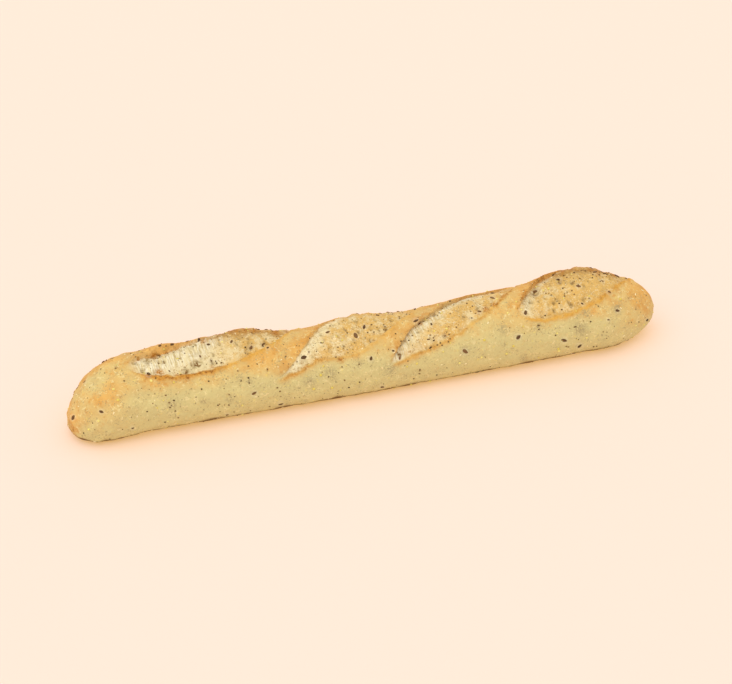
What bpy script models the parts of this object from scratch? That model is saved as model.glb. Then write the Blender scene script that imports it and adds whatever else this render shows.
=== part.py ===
"""Seeded baguette: one long scored loaf with seeds baked into its crust.

The loaf lies along X, rests on the plane z = 0 and has its longest flank towards -Y.
Its skin is a sphere primitive drawn out to a loaf, opened by four slanting scores.
Each score has a lifted lip along its back edge, a hollow under the lip and a risen crumb.
Lengths below are in millimetres unless a name says otherwise; the mesh is in metres.
"""
import math
import random

import bmesh
import bpy
import numpy as np
from mathutils import Matrix, Vector, noise

MM = 0.001
COLLECTION_NAME = "seeded_baguette"

# ---- the loaf before it is scored -------------------------------------------------------
HALF_LENGTH = 250.0
WAIST_WIDTH, LEFT_WIDTH, RIGHT_WIDTH = 63.0, 68.0, 70.0
WAIST_HEIGHT, LEFT_HEIGHT, RIGHT_HEIGHT = 50.5, 54.5, 56.0
WAIST_SPINE, LEFT_SPINE, RIGHT_SPINE = -1.5, 3.5, 0.5    # sideways place of the spine
SHOULDER = 190.0                            # from the waist to the fullest place of a half
LEFT_TIP_TURN = -8.0                        # how far the left tip turns aside
LEFT_END, RIGHT_END = 50.0, 66.0            # length over which each end closes
LEFT_NOSE, RIGHT_NOSE = 9.0, 21.0           # height of each end's tip
WIDEST_AT = 0.44                            # height of the widest line, share of the height
FLANK_FALL = 1.16                           # how far the flank is carried below the table
FLANK_SQUARENESS = 2.35

# ---- the scores -------------------------------------------------------------------------
# Places on the skin are (x, v): v is the arc from the crown, positive towards -Y.
ARC_RADIUS = 31.0
# An edge is the outermost of its leaves: (depth, share where widest, first, last power).
# A lip dies away between two shares of its score's length: (start, end, loss).
SCORES = (
    {"tips": ((-200, 4), (-52, -28)),
     "front": ((30, 0.52, 0.5, 0.8),),
     "back": ((8, 0.15, 0.5, 1.0), (20, 0.70, 4.0, 1.2)),
     "lip": 4.2, "lip_width": 15, "lip_fade": (0.20, 0.40, 0.85),
     "hollow": 4.4, "hollow_width": 12, "ridge": 1.5,
     "dome": 6.2, "dome_at": (0.63, -6), "dome_size": (33, 20)},
    {"tips": ((-90, 36), (50, -27)),
     "front": ((4.5, 0.25, 0.8, 1.0), (18.5, 0.50, 5.0, 0.6)),
     "back": ((27, 0.66, 1.9, 1.1),),
     "lip": 1.0, "lip_width": 9, "lip_fade": (0.30, 0.46, 0.0),
     "hollow": 1.0, "hollow_width": 6, "ridge": 0.9,
     "dome": 5.6, "dome_at": (0.62, -14), "dome_size": (32, 20)},
    {"tips": ((5, 40), (138, -26)),
     "front": ((13.5, 0.55, 1.7, 0.7),),
     "back": ((17.5, 0.35, 0.9, 0.8),),
     "lip": 1.3, "lip_width": 9, "lip_fade": (0.30, 0.46, 0.0),
     "hollow": 2.8, "hollow_width": 7, "ridge": 0.5,
     "dome": 2.6, "dome_at": (0.5, -4), "dome_size": (36, 16)},
    {"tips": ((117, 16), (240, -22)),
     "front": ((24.5, 0.50, 0.6, 0.85),),
     "back": ((24, 0.53, 1.2, 0.85),),
     "lip": 1.3, "lip_width": 10, "lip_fade": (0.30, 0.46, 0.0),
     "hollow": 3.2, "hollow_width": 9, "ridge": 1.1,
     "dome": 6.8, "dome_at": (0.56, -12), "dome_size": (31, 20)},
)
LIP_OVERHANG = 1.0
STEP = 1.8                                  # width of the step from crust to crumb

# ---- unevenness -------------------------------------------------------------------------
CRUST_WAVE, CRUST_WAVE_HEIGHT = 30.0, 1.3
CRUMB_WAVE, CRUMB_WAVE_HEIGHT = 9.0, 1.8
CLEAR_OF_TABLE = 7.0                        # the unevenness dies out below this height

# ---- mesh -------------------------------------------------------------------------------
RINGS, AROUND = 440, 152
BREAD_TRIANGLES = 6700
LEVEL = 0.05

# ---- seeds: length, width, thickness, how many, least spacing ----------------------------
SEED_SEED = 41
SEED_KINDS = (
    ("flax", 4.8, 2.6, 1.9, 60, 17.0),
    ("millet", 2.4, 2.2, 2.0, 54, 11.0),
)
SEED_SUNK = 0.30                            # share of the thickness below the skin
SEED_CLEAR_OF_TABLE = 8.0

MATERIALS = {
    "crust": ((0.72, 0.47, 0.19, 1.0), 0.62),
}


def ease(x, low, high):
    """Smooth step from 0 at low to 1 at high."""
    t = np.clip((x - low) / (high - low), 0.0, 1.0)
    return t * t * (3 - 2 * t)


def between(x, waist, left, right):
    """A size of the loaf along X, from its values at the waist and at both shoulders."""
    return waist + (left - waist) * ease(-x, 0, SHOULDER) + (right - waist) * ease(x, 0, SHOULDER)


def spine(x):
    turned = LEFT_TIP_TURN * ease(-x, SHOULDER, HALF_LENGTH)
    return between(x, WAIST_SPINE, LEFT_SPINE, RIGHT_SPINE) + turned


def close_end(u, power, root):
    u = np.clip(u, 0.0, 1.0)
    return (1 - (1 - u) ** power) ** (1 / root)


def skin(x, t):
    """Points of the unscored loaf; t is the angle from the crown, positive towards -Y."""
    half_width = between(x, WAIST_WIDTH, LEFT_WIDTH, RIGHT_WIDTH) / 2
    height = between(x, WAIST_HEIGHT, LEFT_HEIGHT, RIGHT_HEIGHT)
    left = (x + HALF_LENGTH) / LEFT_END
    right = (HALF_LENGTH - x) / RIGHT_END
    half_width = half_width * close_end(left, 2, 2) * close_end(right, 2.1, 2.1)
    nose = np.where(x < 0, LEFT_NOSE, RIGHT_NOSE)
    top = nose + (height - nose) * close_end(left, 1.9, 1.9) * close_end(right, 2, 2.1)
    bottom = nose * (1 - close_end(left * 1.7, 2, 2) * close_end(right * 1.5, 2, 2))
    tall = top - bottom
    s, c = np.sin(t), np.cos(t)
    widest = tall * WIDEST_AT
    squared = 2 / FLANK_SQUARENESS
    y = np.where(c >= 0, s, np.sign(s) * np.abs(s) ** squared) * half_width
    above = widest + (tall - widest) * c
    below = widest - widest * FLANK_FALL * np.abs(c) ** squared
    z = np.maximum(np.where(c >= 0, above, below), 0.0) + bottom
    return np.stack([x, spine(x) - y, z], axis=-1)


def leaf(along, depth, widest, first, last):
    """Edge that swells from one tip to its depth and back; a small power blunts its tip."""
    rise = np.clip(along / widest, 0.0, 1.0)
    fall = np.clip((1 - along) / (1 - widest), 0.0, 1.0)
    return depth * (1 - (1 - rise) ** 2) ** first * (1 - (1 - fall) ** 2) ** last


def edge(along, leaves):
    return np.max([leaf(along, *each) for each in leaves], axis=0)


def score_places(score, x, v):
    """Share along the score, and the distances inside its back and front edges."""
    (ax, av), (bx, bv) = score["tips"]
    length = math.hypot(bx - ax, bv - av)
    ex, ev = (bx - ax) / length, (bv - av) / length
    along = ((x - ax) * ex + (v - av) * ev) / length
    across = (v - av) * ex - (x - ax) * ev
    inside = np.clip(along, 0.0, 1.0)
    from_back = across + edge(inside, score["back"])
    from_front = edge(inside, score["front"]) - across
    return along, across, from_back, from_front, (length, -ev, ex)


def relief(x, v):
    """Height over the skin, shift along the skin in (x, v), and share of bare crumb."""
    height, shift_x, shift_v, crumb = (np.zeros_like(x) for _ in range(4))
    for score in SCORES:
        along, across, from_back, from_front, (length, nx, nv) = score_places(score, x, v)
        taper = ease(along, 0.0, 0.07) * ease(along, 1.02, 0.86)
        start, end, loss = score["lip_fade"]
        lifted = ease(along, 0.0, 0.24) ** 0.7 * (1 - loss * ease(along, start, end))
        opened = ease(from_back, 0, STEP) * ease(from_front, -0.5, STEP + 1) * taper
        lip = ease(from_back, -score["lip_width"], 0) ** 1.6 * ease(from_back, STEP, 0.3)
        lip = lip * ease(from_front, -2, 4) * taper * lifted
        hollow = np.exp(-(from_back / score["hollow_width"]) ** 2) * opened * (0.3 + 0.7 * lifted)
        ridge = np.exp(-((from_front + 1.2) / 2.4) ** 2) * taper * ease(from_back, 2, 8)
        gutter = np.exp(-(np.maximum(from_front, 0) / 5.0) ** 2) * opened
        at, off = score["dome_at"]
        size_s, size_w = score["dome_size"]
        dome = np.exp(-((along - at) * length / size_s) ** 2 - ((across - off) / size_w) ** 2)
        height += (score["lip"] * lip - score["hollow"] * hollow + score["dome"] * dome
                   + score["ridge"] * (ridge - gutter))
        shift_x += LIP_OVERHANG * lip * nx
        shift_v += LIP_OVERHANG * lip * nv
        crumb = np.maximum(crumb, opened)
    return height, shift_x, shift_v, crumb


def ripple(points, wave, amount, offset):
    return amount * np.array([noise.noise(Vector(p) / wave + Vector(offset)) for p in points])


def ring_positions(share):
    """Station along X for a share of the way from tip to tip, evenly spaced over the skin."""
    left, right = LEFT_END * math.pi / 2, RIGHT_END * math.pi / 2
    middle = 2 * HALF_LENGTH - LEFT_END - RIGHT_END
    walk = share * (left + middle + right)
    from_left = LEFT_END * (1 - np.cos(np.clip(walk / LEFT_END, 0, math.pi / 2)))
    straight = np.clip(walk - left, 0, middle)
    past = np.clip((walk - left - middle) / RIGHT_END, 0, math.pi / 2)
    return -HALF_LENGTH + from_left + straight + RIGHT_END * np.sin(past)


def bread_mesh():
    bm = bmesh.new()
    bmesh.ops.create_uvsphere(bm, u_segments=AROUND, v_segments=RINGS, radius=1.0)
    ball = np.array([v.co for v in bm.verts])
    x = ring_positions(np.arccos(np.clip(-ball[:, 2], -1, 1)) / math.pi)
    t = np.arctan2(ball[:, 1], ball[:, 0])
    v = ARC_RADIUS * t
    plain = skin(x, t)
    for vert, co in zip(bm.verts, plain):
        vert.co = co
    bmesh.ops.recalc_face_normals(bm, faces=bm.faces)
    bm.normal_update()
    outward = np.array([vert.normal for vert in bm.verts])

    height, shift_x, shift_v, crumb = relief(x, v)
    clear = ease(plain[:, 2], 0.5, CLEAR_OF_TABLE)
    height += ripple(plain, CRUST_WAVE, CRUST_WAVE_HEIGHT, (3, 1, 7)) * clear
    height += ripple(plain, CRUMB_WAVE, CRUMB_WAVE_HEIGHT, (9, 4, 2)) * crumb
    end = np.clip(x + shift_x, -HALF_LENGTH, HALF_LENGTH)
    moved = skin(end, t + shift_v / ARC_RADIUS) + outward * height[:, None]
    for vert, co, free in zip(bm.verts, moved, clear):
        vert.co = co * MM
        if free == 0.0:
            vert.co.z = max(vert.co.z, 0.0)
    corners = [[vert.index for vert in face.verts] for face in bm.faces]
    places = [vert.co.copy() for vert in bm.verts]
    bm.free()
    # The sphere comes with its faces in no fixed order; sorted, the thinned mesh is repeatable.
    turned = [loop[loop.index(min(loop)):] + loop[:loop.index(min(loop))] for loop in corners]
    mesh = bpy.data.meshes.new("baguette")
    mesh.from_pydata(places, [], sorted(turned))
    return mesh


def apply_modifier(obj, name, kind, **settings):
    modifier = obj.modifiers.new(name, kind)
    for key, value in settings.items():
        setattr(modifier, key, value)
    with bpy.context.temp_override(object=obj, active_object=obj, selected_objects=[obj]):
        bpy.ops.object.modifier_apply(modifier=modifier.name)


def scatter(mesh, rng, count, spacing, taken):
    """Even, seeded places on the faces that are clear of the table."""
    mesh.calc_loop_triangles()
    faces = [f for f in mesh.loop_triangles
             if min(mesh.vertices[i].co.z for i in f.vertices) > SEED_CLEAR_OF_TABLE * MM]
    areas = np.cumsum([f.area for f in faces])
    found = []
    while len(found) < count:
        face = faces[int(np.searchsorted(areas, rng.random() * areas[-1]))]
        a, b, c = (mesh.vertices[i].co for i in face.vertices)
        p, q = rng.random(), rng.random()
        if p + q > 1:
            p, q = 1 - p, 1 - q
        place = a + (b - a) * p + (c - a) * q
        if all((place - other).length > spacing * MM for other, _ in taken + found):
            found.append((place, Vector(face.normal)))
    return found


def seed_object(name, size, place, normal, turn, collection, material):
    length, width, thickness = size
    bm = bmesh.new()
    bmesh.ops.create_uvsphere(bm, u_segments=6, v_segments=4, radius=0.5)
    sunk = thickness * (0.5 - SEED_SUNK) * MM
    lay = (Matrix.Translation(place + normal * sunk)
           @ normal.to_track_quat("Z", "X").to_matrix().to_4x4()
           @ Matrix.Rotation(turn, 4, "Z")
           @ Matrix.Diagonal((length * MM, width * MM, thickness * MM, 1.0)))
    bmesh.ops.transform(bm, matrix=lay, verts=bm.verts)
    mesh = bpy.data.meshes.new(name)
    bm.to_mesh(mesh)
    bm.free()
    mesh.materials.append(material)
    obj = bpy.data.objects.new(name, mesh)
    obj.display_type = "WIRE"
    obj.hide_render = True
    collection.objects.link(obj)
    return obj


def fuse_seeds(bread, material):
    """Seeds of every kind, largest first, joined to the bread as one solid."""
    rng = random.Random(SEED_SEED)
    cutters = bpy.data.collections.new("seeds_to_fuse")
    bpy.context.scene.collection.children.link(cutters)
    taken = []
    for kind, length, width, thickness, count, spacing in SEED_KINDS:
        places = scatter(bread.data, rng, count, spacing, taken)
        for number, (place, normal) in enumerate(places):
            scale = rng.uniform(0.85, 1.1)
            size = (length * scale, width * scale, thickness * scale)
            seed_object(f"{kind}_{number:03d}", size, place, normal,
                        rng.uniform(0, math.pi), cutters, material)
        taken += places
    apply_modifier(bread, "Fuse seeds", "BOOLEAN", operation="UNION",
                   operand_type="COLLECTION", collection=cutters, solver="MANIFOLD")
    for obj in list(cutters.objects):
        seed_mesh = obj.data
        bpy.data.objects.remove(obj)
        bpy.data.meshes.remove(seed_mesh)
    bpy.data.collections.remove(cutters)


def principled(name):
    color, roughness = MATERIALS[name]
    material = bpy.data.materials.new(name)
    material.use_nodes = True
    shader = material.node_tree.nodes["Principled BSDF"]
    shader.inputs["Base Color"].default_value = color
    shader.inputs["Roughness"].default_value = roughness
    shader.inputs["Metallic"].default_value = 0.0
    material.diffuse_color = color
    return material


def level_base(mesh):
    """Lay the vertices that the thinning left a hair off the table back onto it."""
    for vert in mesh.vertices:
        if vert.co.z < LEVEL * MM:
            vert.co.z = 0.0


def centre_in_plan(obj):
    corners = np.array([v.co for v in obj.data.vertices])
    middle = (corners.min(axis=0) + corners.max(axis=0)) / 2
    obj.data.transform(Matrix.Translation((-middle[0], -middle[1], 0.0)))


def main():
    for obj in list(bpy.data.objects):
        bpy.data.objects.remove(obj, do_unlink=True)
    collection = bpy.data.collections.new(COLLECTION_NAME)
    bpy.context.scene.collection.children.link(collection)
    crust = principled("crust")
    mesh = bread_mesh()
    mesh.materials.append(crust)
    bread = bpy.data.objects.new("baguette", mesh)
    collection.objects.link(bread)
    triangles = sum(len(p.vertices) - 2 for p in mesh.polygons)
    apply_modifier(bread, "Thin out", "DECIMATE", ratio=BREAD_TRIANGLES / triangles)
    level_base(mesh)
    fuse_seeds(bread, crust)
    centre_in_plan(bread)
    bread.data.shade_smooth()
    bread.data.set_sharp_from_angle(angle=math.radians(50))


main()
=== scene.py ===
"""Looks of a seeded baguette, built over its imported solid.

One closed bread mesh carries the loaf, its four scores and the torn crumb in them.
Seeds of four kinds lie over it, one mesh for each kind, on a plain pale floor.
Lengths in the tables below are in millimetres, except places in the picture, which are in
pixels. Every mesh is in metres.
"""

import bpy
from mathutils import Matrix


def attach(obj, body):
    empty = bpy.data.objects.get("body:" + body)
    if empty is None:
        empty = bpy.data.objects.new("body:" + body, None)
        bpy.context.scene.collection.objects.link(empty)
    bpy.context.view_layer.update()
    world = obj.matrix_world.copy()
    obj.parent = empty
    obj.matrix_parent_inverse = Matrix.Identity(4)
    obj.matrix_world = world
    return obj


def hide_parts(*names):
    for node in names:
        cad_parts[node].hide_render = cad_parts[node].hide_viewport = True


bl_info = {
    "name": "Seeded baguette looks",
    "version": (1, 0, 0),
    "blender": (4, 5, 0),
    "location": "View3D > Sidebar > Baguette",
    "description": "Builds the bread, its seeds and a plain studio over the packed solid",
    "category": "Object",
}

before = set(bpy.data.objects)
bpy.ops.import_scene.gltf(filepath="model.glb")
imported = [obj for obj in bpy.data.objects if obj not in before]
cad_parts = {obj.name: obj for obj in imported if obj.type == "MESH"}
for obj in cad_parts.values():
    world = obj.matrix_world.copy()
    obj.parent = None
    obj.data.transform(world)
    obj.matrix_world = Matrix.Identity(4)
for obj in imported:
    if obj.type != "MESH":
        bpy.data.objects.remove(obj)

import math
import random

import bpy
import numpy as np
from bpy.props import (FloatProperty, FloatVectorProperty, IntProperty, PointerProperty)
from mathutils import Matrix, Vector, noise

MM = 0.001
NODE = "baguette"

# ---- the loaf before it is scored -------------------------------------------------------
HALF_LENGTH = 250.0
WAIST_WIDTH, LEFT_WIDTH, RIGHT_WIDTH = 63.0, 68.0, 70.0
WAIST_HEIGHT, LEFT_HEIGHT, RIGHT_HEIGHT = 50.5, 54.5, 56.0
WAIST_SPINE, LEFT_SPINE, RIGHT_SPINE = -1.5, 3.5, 0.5    # sideways place of the spine
SHOULDER = 190.0                            # from the waist to the fullest place of a half
LEFT_TIP_TURN = -8.0                        # how far the left tip turns aside
LEFT_END, RIGHT_END = 50.0, 66.0
LEFT_NOSE, RIGHT_NOSE = 9.0, 21.0
WIDEST_AT = 0.44
FLANK_FALL = 1.16
FLANK_SQUARENESS = 2.35

# ---- the scores: places on the skin are (x, arc from the crown, positive to the front) ----
ARC_RADIUS = 31.0                           # turns an angle round the loaf into an arc
RING_SAMPLES = 721                          # places round a ring where its density is found
# Past this turn from the crown, the vertices of a ring lie this much thinner.
UNDERSIDE_TURN, UNDERSIDE_DENSITY = math.radians(105), 0.42
# An edge is the outermost of its leaves: (depth, share where widest, first, last power).
SCORES = (
    {"tips": ((-200, 4), (-52, -28)),
     "front": ((30, 0.52, 0.5, 0.8),),
     "back": ((8, 0.15, 0.5, 1.0), (20, 0.70, 4.0, 1.2)),
     "lip": 4.2, "lip_width": 15, "hollow": 4.4, "hollow_width": 12, "ridge": 1.5,
     "dome": 6.2, "dome_at": (0.63, -6), "dome_size": (33, 20), "overhang": 2.2},
    {"tips": ((-90, 36), (50, -27)),
     "front": ((4.5, 0.25, 0.8, 1.0), (18.5, 0.50, 5.0, 0.6)),
     "back": ((27, 0.66, 1.9, 1.1),),
     "lip": 1.0, "lip_width": 9, "hollow": 1.0, "hollow_width": 6, "ridge": 0.9,
     "dome": 5.6, "dome_at": (0.62, -14), "dome_size": (32, 20), "overhang": 0.5},
    {"tips": ((5, 40), (138, -26)),
     "front": ((13.5, 0.55, 1.7, 0.7),),
     "back": ((17.5, 0.35, 0.9, 0.8),),
     "lip": 1.3, "lip_width": 9, "hollow": 2.8, "hollow_width": 7, "ridge": 0.5,
     "dome": 2.6, "dome_at": (0.5, -4), "dome_size": (36, 16), "overhang": 1.6},
    {"tips": ((117, 16), (240, -22)),
     "front": ((24.5, 0.50, 0.6, 0.85),),
     "back": ((24, 0.53, 1.2, 0.85),),
     "lip": 1.3, "lip_width": 10, "hollow": 3.2, "hollow_width": 9, "ridge": 1.1,
     "dome": 6.8, "dome_at": (0.56, -12), "dome_size": (31, 20), "overhang": 1.8},
)
STEP = 1.8                                  # the crumb is fully open this far inside an edge
CLEAR_OF_TABLE = 7.0                        # height from which the crust is uneven in full

# ---- how each score has baked; a fade is (start, end, loss) in shares along the score -----
# bake is the least and the most colour of the crumb, and bake_from is where it rises from
# one to the other. strand_reach is a distance from the back edge. The rest are strengths,
# and a negative loss is a gain.
NO_FADE = (0.0, 1.0, 0.0)
BAKING = (
    {"lip_fade": (0.20, 0.40, 0.85), "lip_toast": 0.35, "wall": 1.0, "foot": 0.7,
     "ridge_fade": (0.38, 0.50, 0.85), "ridge_toast": 1.0, "rind": 0.85,
     "bake": (0.05, 0.80), "bake_from": (0.36, 0.66), "shelter": 0.35, "blush": 0.3,
     "strands": 1.0, "strand_reach": 24, "strand_fade": (0.44, 0.70, 0.8)},
    {"lip_fade": NO_FADE, "lip_toast": 0.30, "wall": 0.1, "foot": 0.0,
     "ridge_fade": (0.24, 0.36, 0.80), "ridge_toast": 0.55, "rind": 0.45,
     "bake": (0.0, 0.82), "bake_from": (0.12, 0.40), "shelter": 0.0, "blush": 0.8,
     "strands": 0.5, "strand_reach": 6, "strand_fade": (0.5, 0.8, 0.7)},
    {"lip_fade": NO_FADE, "lip_toast": 0.35, "wall": 0.2, "foot": 0.25,
     "ridge_fade": (0.55, 0.72, -1.6), "ridge_toast": 0.30, "rind": 0.55,
     "bake": (0.38, 0.76), "bake_from": (0.10, 0.40), "shelter": 0.3, "blush": 0.9,
     "strands": 0.9, "strand_reach": 9, "strand_fade": (0.6, 0.9, 0.6)},
    {"lip_fade": NO_FADE, "lip_toast": 0.75, "wall": 0.75, "foot": 0.6,
     "ridge_fade": (0.40, 0.55, -1.0), "ridge_toast": 0.16, "rind": 1.0,
     "bake": (0.62, 1.45), "bake_from": (0.12, 0.38), "shelter": 0.45, "blush": 0.1,
     "strands": 0.5, "strand_reach": 10, "strand_fade": (0.4, 0.8, 0.8)},
)
# Paler spots on the crust: (x, arc from the crown, radius)
PALE_PATCHES = ((94, 24, 20), (66, 33, 16), (-28, 36, 14), (112, 2, 9),
                (-226, 2, 13), (-200, 30, 14))
# Toasted far rims: (arc from the crown, half width, x where it starts, x where it ends)
FAR_RIMS = ((-10, 6.5, 159, 220), (-11, 5.0, -135, -68))

# ---- the picture's size in pixels, and how the camera stands to it -------------------------
PICTURE_WIDTH, PICTURE_HEIGHT = 732, 684
SENSOR_WIDTH = 36.0
CAMERA_TARGET = (-4.5, -1.5, 35.0)

# ---- marks and seeds, read off enlarged pieces of the picture ------------------------------
# A close-up is (left, top, times enlarged). Places in it are in its own, enlarged pixels.
CLOSE_UPS = {"left": (60, 325, 5), "inner_left": (230, 300, 5), "inner_right": (390, 270, 5),
             "right": (480, 255, 5), "first_score": (120, 332, 10), "third_score": (390, 292, 8),
             "last_score": (515, 260, 8)}
# Marks are (x, y, size), and each fades with a radius of MARK_RADIUS of its size.
MARK_RADIUS = 0.65
PIT_DEPTH, SCORCH_STRENGTH = 2.2, 0.95
# A flax seed's pale ring: its radius as a share of the seed's length, its width in pixels.
HALO_RADIUS, HALO_WIDTH, HALO_STRENGTH = 0.52, 0.9, 0.22
TORN_PITS = {
    "first_score": ((775, 320, 70), (660, 395, 42), (440, 300, 20), (272, 285, 40)),
    "inner_left": ((105, 235, 22), (165, 225, 14)),
    "third_score": ((72, 500, 44), (440, 350, 24)),
    "last_score": ((160, 262, 46), (355, 170, 30))}
SCORCHES = {
    "first_score": ((340, 225, 58), (385, 400, 46), (430, 405, 36), (180, 265, 30)),
    "left": ((585, 258, 20), (640, 258, 20), (700, 240, 18), (755, 212, 18),
             (715, 75, 26), (790, 42, 30), (850, 25, 26), (925, 20, 24)),
    "inner_left": ((555, 298, 24), (30, 152, 26), (120, 143, 26), (225, 158, 26), (275, 150, 22)),
    "inner_right": ((150, 268, 14), (440, 215, 20), (480, 195, 22), (520, 175, 20)),
    "last_score": ((75, 280, 26), (110, 225, 26), (160, 180, 26), (225, 140, 26),
                   (300, 112, 24), (380, 90, 22), (450, 72, 22), (610, 85, 30),
                   (660, 100, 34), (720, 108, 30), (790, 118, 24))}
SMUDGES = {
    "left": ((560, 400, 40), (845, 370, 30), (720, 380, 25), (900, 265, 25)),
    "inner_left": ((400, 405, 45), (500, 365, 40), (800, 340, 45), (650, 320, 25), (95, 405, 25)),
    "inner_right": ((190, 370, 40), (375, 400, 35), (565, 295, 35), (640, 335, 30),
                    (670, 440, 28)),
    "right": ((500, 370, 55), (290, 360, 35), (530, 288, 35), (690, 265, 40))}
# Flax seeds are (x, y, length, degrees turned up from the right), the small seeds (x, y).
FLAX_SEEN = {
    "left": ((64, 462, 26, 60), (207, 433, 22, -20), (214, 180, 20, 10), (86, 315, 16, 55),
             (123, 283, 16, 50), (972, 343, 28, 30), (838, 450, 18, 5), (362, 515, 15, 20),
             (955, 112, 28, 60), (855, 82, 18, 70)),
    "inner_left": ((490, 162, 22, 20), (460, 213, 20, 0), (367, 288, 31, 15),
                   (395, 260, 11, 0), (628, 180, 32, -65), (673, 135, 21, 80),
                   (738, 79, 23, 0), (847, 92, 12, 0), (703, 295, 24, 80), (760, 435, 20, 0),
                   (255, 520, 24, 15), (182, 150, 26, 0), (165, 225, 16, 45),
                   (190, 240, 16, 20)),
    "inner_right": ((640, 335, 28, 45), (950, 380, 28, 40), (872, 352, 27, -15)),
    "right": ((835, 325, 14, 20),),
    "first_score": ((285, 425, 50, -40), (882, 128, 42, 0), (910, 75, 32, 0),
                    (495, 388, 26, -30), (800, 238, 30, -60), (905, 290, 36, -80),
                    (395, 140, 38, 20), (525, 122, 38, 10)),
    "third_score": ((80, 530, 30, 75), (232, 255, 34, 40), (208, 230, 40, 25),
                    (440, 352, 22, 15), (600, 478, 46, -35), (718, 157, 30, -10),
                    (817, 50, 40, -15), (822, 10, 40, 0), (480, 75, 18, 10), (655, 208, 18, 0),
                    (25, 470, 24, 0), (328, 262, 16, 0)),
    "last_score": ((160, 255, 40, 5), (350, 160, 34, 0), (88, 420, 44, 80), (305, 120, 26, 30),
                   (700, 167, 26, -30), (755, 258, 34, -30), (510, 212, 36, -5),
                   (450, 382, 22, 20), (543, 350, 24, -35), (822, 405, 32, -10),
                   (745, 478, 20, 0), (815, 132, 42, -35), (890, 148, 24, -10),
                   (640, 98, 30, 10), (715, 108, 30, -10))}
POPPY_SEEN = {
    "left": ((530, 352), (570, 375), (545, 385), (548, 410), (575, 428), (787, 403), (708, 320),
             (943, 205), (525, 488), (280, 215), (322, 280), (845, 345), (845, 400), (435, 432),
             (250, 568), (118, 541), (590, 465), (745, 282), (810, 190), (785, 188), (945, 262),
             (950, 290)),
    "inner_left": ((198, 530), (570, 400), (595, 437), (648, 412), (188, 348), (540, 235),
                   (400, 190), (950, 350), (945, 370), (917, 395), (250, 455), (235, 437),
                   (560, 335), (530, 288), (720, 160), (705, 125), (690, 165), (280, 280),
                   (105, 238), (75, 232), (500, 130), (590, 165), (648, 322)),
    "inner_right": ((145, 518), (118, 543), (150, 495), (200, 390), (255, 365), (235, 522),
                    (825, 325), (922, 283), (740, 275), (745, 300), (300, 345), (205, 270),
                    (195, 350), (220, 355), (330, 290)),
    "right": ((555, 335), (475, 357), (375, 400), (795, 335), (355, 200), (295, 352), (395, 240),
              (565, 458), (585, 455), (432, 455), (440, 460), (560, 115), (500, 120), (470, 195),
              (420, 205), (330, 190), (600, 130), (640, 95)),
    "third_score": ((412, 425), (465, 398), (380, 425), (325, 440), (345, 365), (478, 340),
                    (395, 168), (480, 178), (75, 203), (88, 392), (45, 330), (270, 235),
                    (180, 345), (155, 390), (420, 130), (510, 105), (300, 380), (320, 350)),
    "last_score": ((288, 282), (352, 347), (378, 400), (457, 240), (385, 228), (240, 180),
                   (280, 152), (330, 115), (390, 128), (415, 140), (470, 100), (530, 82),
                   (560, 88), (605, 95), (625, 118), (655, 108), (675, 122), (690, 98),
                   (735, 118), (750, 100), (770, 122), (590, 310), (245, 440))}
MILLET_SEEN = {
    "left": ((268, 323), (290, 372), (145, 520), (195, 478)),
    "inner_left": ((420, 447), (510, 440), (455, 375), (905, 420)),
    "inner_right": ((470, 350), (845, 398), (458, 435), (350, 462), (200, 553), (620, 380),
                    (585, 420), (285, 296)),
    "right": ((395, 478), (392, 465), (20, 425), (700, 220))}

# ---- seeds --------------------------------------------------------------------------------
# size is length, width and thickness, and gap the least distance between scattered seeds.
# front and crumb say how thickly a kind is scattered there. point is how much one end
# narrows. seen_size is the size of the seeds seen in the picture, as a share of the kind's
# own, or None where their length was read. finish is the tint, roughness and specular level.
SEED_KINDS = {
    "flax_seeds": {
        "size": (4.6, 2.6, 1.2), "count": 110, "gap": 5.5, "crumb": 1.5, "front": 0.0,
        "segments": (8, 6), "point": 0.30, "seen": FLAX_SEEN, "seen_size": None,
        "finish": ("flax", 0.5, 0.2)},
    "poppy_seeds": {
        "size": (1.25, 1.0, 0.8), "count": 700, "gap": 2.0, "crumb": 2.4, "front": 0.5,
        "segments": (6, 4), "point": 0.0, "seen": POPPY_SEEN, "seen_size": 1.25,
        "finish": ("poppy", 0.65, 0.12)},
    "millet_grains": {
        "size": (2.0, 1.8, 1.3), "count": 150, "gap": 4.5, "crumb": 1.4, "front": 0.6,
        "segments": (7, 5), "point": 0.0, "seen": MILLET_SEEN, "seen_size": 1.1,
        "finish": ("millet", 0.5, 0.35)},
    "sesame_seeds": {
        "size": (2.7, 1.3, 0.7), "count": 170, "gap": 6.0, "crumb": 0.8, "front": 1.0,
        "segments": (7, 5), "point": 0.55, "seen": {}, "seen_size": None,
        "finish": ("sesame", 0.55, 0.3)},
}
FIRST_SHUFFLE = 11                          # random seed of the first kind; each next adds 1
SHORTEST_FLAX, LONGEST_FLAX = 2.0, 5.4
MOST_FORESHORTENED = 1.6                    # limit on how much a steep view shortens a seed
FRONT_ARCS = (-17, 70)                      # the front lies between these arcs
SIZE_SPREAD = (0.4, 1.15, 0.75)             # least, most and commonest size of a seed
UNEVENNESS = 0.12                           # how much each of a seed's three sizes varies
CLUSTER_SIZE, LOWEST_SEED = 0.028, 0.0035   # both in metres
# How strongly the scatter clusters, and the least and the most that this makes of it.
CLUSTERING, THINNEST, THICKEST = 1.6, 0.15, 3

# ---- the studio's lights; the lamp's place is in metres -----------------------------------
SKY_TINT = (1.0, 0.975, 0.935, 1.0)
LAMP_TINT = (1.0, 0.95, 0.82)
LAMP_PLACE = (-0.9, -0.6, 2.2)
LAMP_SPREAD = math.radians(70)

# ================================ shape of the loaf ========================================

def ease(x, low, high):
    """Smooth step from 0 at low to 1 at high."""
    t = np.clip((x - low) / (high - low), 0.0, 1.0)
    return t * t * (3 - 2 * t)


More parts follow.
